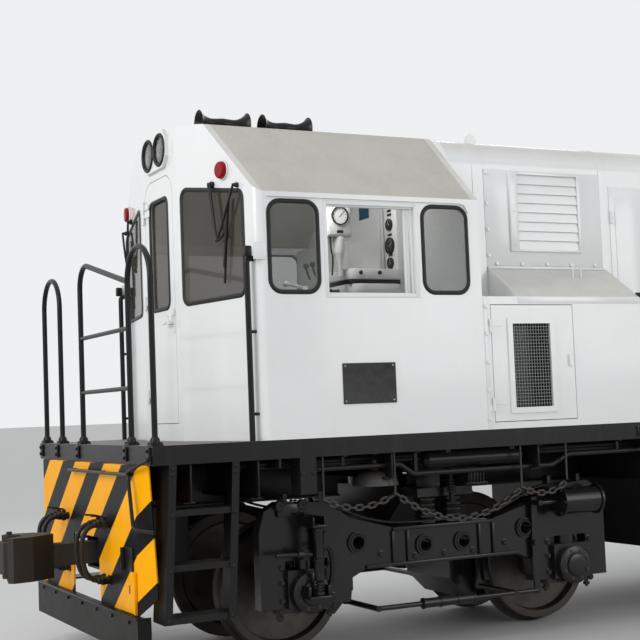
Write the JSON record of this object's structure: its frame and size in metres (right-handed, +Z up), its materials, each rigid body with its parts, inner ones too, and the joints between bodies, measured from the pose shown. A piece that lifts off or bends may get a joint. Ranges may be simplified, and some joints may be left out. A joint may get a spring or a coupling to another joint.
{
  "type": "diesel-electric locomotive",
  "caption": "Narrow-gauge hood locomotive with a full-width end cab, two four-wheel bogies, corner steps, handrails, knuckle couplers and opening doors.",
  "frame": {"origin": "on the plane of the wheel flange tips, midway between the coupler faces and on the centre line", "axes": "+X forward towards the cab end, +Y to the left of the direction of travel, +Z up"},
  "size_m": [11.98, 2.788, 3.9908],
  "materials": {
    "white_paint": "gloss",
    "roof_paint": "slightly textured satin",
    "black_paint": "satin, dusty",
    "deck_paint": "satin with worn tread",
    "stripe_paint": "gloss stripes on black",
    "white_trim": "painted",
    "cab_grey": "satin",
    "rubber": "matt",
    "tinted_glass": "clear, slightly tinted",
    "lamp_glass": "clear with bright reflector",
    "red_lens": "translucent red",
    "seat_vinyl": "satin",
    "mesh_steel": "dark",
    "cast_block": "painted grey-green",
    "bell_metal": "painted over, dusty",
    "chain_steel": "dusty",
    "coupler_iron": "oily",
    "bogie_iron": "satin, dusty",
    "wheel_steel": "dusty, bright tread"
  },
  "bodies": {
    "locomotive": {"air_reservoirs": "black_paint", "bell": "bell_metal", "brake_hoses": "rubber", "brake_pipes": "black_paint", "cab_glass": "tinted_glass", "cab_roof": "roof_paint", "cab_shell": "white_paint", "cabinet_gear": "cab_grey", "control_stand": "cab_grey", "corner_steps": "black_paint", "end_fittings": "black_paint", "end_plates": "stripe_paint", "engine_and_generator": "cast_block", "engine_hood": "white_paint", "equipment_hood": "white_paint", "fan_guard": "black_paint", "fuel_tank": "black_paint", "gauge_panel": "cab_grey", "handrails": "black_paint", "headlamps": "lamp_glass", "headlight_boxes": "white_paint", "horns": "black_paint", "louvres": "white_paint", "marker_lamps": "red_lens", "radiator_hood": "white_paint", "safety_chains": "chain_steel", "seat_cushions": "seat_vinyl", "seat_posts": "black_paint", "sliding_windows": "white_trim", "underframe": "deck_paint", "window_rubbers": "rubber", "wipers": "rubber"},
    "cab_door": {"cab_door": "white_paint", "cab_door_glass": "tinted_glass"},
    "grille_door_left": {"grille_door_left": "white_paint", "grille_mesh_left": "mesh_steel"},
    "grille_door_right": {"grille_door_right": "white_paint", "grille_mesh_right": "mesh_steel"},
    "engine_door_left": {"engine_door_left": "white_paint"},
    "engine_door_right": {"engine_door_right": "white_paint"},
    "radiator_fan": {"radiator_fan": "mesh_steel"},
    "coupler_front": {"coupler_front": "coupler_iron"},
    "coupler_rear": {"coupler_rear": "coupler_iron"},
    "knuckle_front": {"knuckle_front": "coupler_iron"},
    "knuckle_rear": {"knuckle_rear": "coupler_iron"},
    "bogie_front": {"bogie_sides_front": "bogie_iron", "bogie_bolster_front": "bogie_iron", "axleboxes_front": "bogie_iron", "brake_gear_front": "bogie_iron", "traction_motors_front": "bogie_iron"},
    "bogie_rear": {"bogie_sides_rear": "bogie_iron", "bogie_bolster_rear": "bogie_iron", "axleboxes_rear": "bogie_iron", "brake_gear_rear": "bogie_iron", "traction_motors_rear": "bogie_iron"},
    "wheelset_1": {"wheelset_1": "wheel_steel"},
    "wheelset_2": {"wheelset_2": "wheel_steel"},
    "wheelset_3": {"wheelset_3": "wheel_steel"},
    "wheelset_4": {"wheelset_4": "wheel_steel"}
  },
  "joints": [
    {"name": "cab_door_hinge", "type": "hinge", "parent": "locomotive", "child": "cab_door", "pos_m": [4.805, -0.305, 2.55], "axis": [0, 0, -1], "range_deg": [0, 50]},
    {"name": "grille_door_left_hinge", "type": "hinge", "parent": "locomotive", "child": "grille_door_left", "pos_m": [2.848, 1.383, 2], "axis": [0, 0, -1], "range_deg": [0, 110]},
    {"name": "grille_door_right_hinge", "type": "hinge", "parent": "locomotive", "child": "grille_door_right", "pos_m": [2.848, -1.383, 2], "axis": [0, 0, 1], "range_deg": [0, 110]},
    {"name": "engine_door_left_hinge", "type": "hinge", "parent": "locomotive", "child": "engine_door_left", "pos_m": [0.412, 1.013, 2.45], "axis": [0, 0, -1], "range_deg": [0, 45]},
    {"name": "engine_door_right_hinge", "type": "hinge", "parent": "locomotive", "child": "engine_door_right", "pos_m": [0.412, -1.013, 2.45], "axis": [0, 0, 1], "range_deg": [0, 45]},
    {"name": "radiator_fan_spin", "type": "hinge", "parent": "locomotive", "child": "radiator_fan", "pos_m": [-3.7, 0, 3.47], "axis": [0, 0, 1], "continuous": true},
    {"name": "coupler_front_swing", "type": "hinge", "parent": "locomotive", "child": "coupler_front", "pos_m": [4.98, 0, 0.78], "axis": [0, 0, 1], "range_deg": [-9, 9]},
    {"name": "coupler_rear_swing", "type": "hinge", "parent": "locomotive", "child": "coupler_rear", "pos_m": [-4.98, 0, 0.78], "axis": [0, 0, 1], "range_deg": [-9, 9]},
    {"name": "knuckle_front_swing", "type": "hinge", "parent": "coupler_front", "child": "knuckle_front", "pos_m": [5.91, -0.12, 0.78], "axis": [0, 0, -1], "range_deg": [0, 30]},
    {"name": "knuckle_rear_swing", "type": "hinge", "parent": "coupler_rear", "child": "knuckle_rear", "pos_m": [-5.91, 0.12, 0.78], "axis": [0, 0, -1], "range_deg": [0, 30]},
    {"name": "bogie_front_pivot", "type": "hinge", "parent": "locomotive", "child": "bogie_front", "pos_m": [3.05, 0, 1.165], "axis": [0, 0, 1], "range_deg": [-3.5, 3.5]},
    {"name": "bogie_rear_pivot", "type": "hinge", "parent": "locomotive", "child": "bogie_rear", "pos_m": [-3.05, 0, 1.165], "axis": [0, 0, 1], "range_deg": [-3.5, 3.5]},
    {"name": "wheelset_1_spin", "type": "hinge", "parent": "bogie_front", "child": "wheelset_1", "pos_m": [4.145, 0, 0.485], "axis": [0, 1, 0], "continuous": true},
    {"name": "wheelset_2_spin", "type": "hinge", "parent": "bogie_front", "child": "wheelset_2", "pos_m": [1.955, 0, 0.485], "axis": [0, 1, 0], "continuous": true},
    {"name": "wheelset_3_spin", "type": "hinge", "parent": "bogie_rear", "child": "wheelset_3", "pos_m": [-1.955, 0, 0.485], "axis": [0, 1, 0], "continuous": true},
    {"name": "wheelset_4_spin", "type": "hinge", "parent": "bogie_rear", "child": "wheelset_4", "pos_m": [-4.145, 0, 0.485], "axis": [0, 1, 0], "continuous": true}
  ]
}
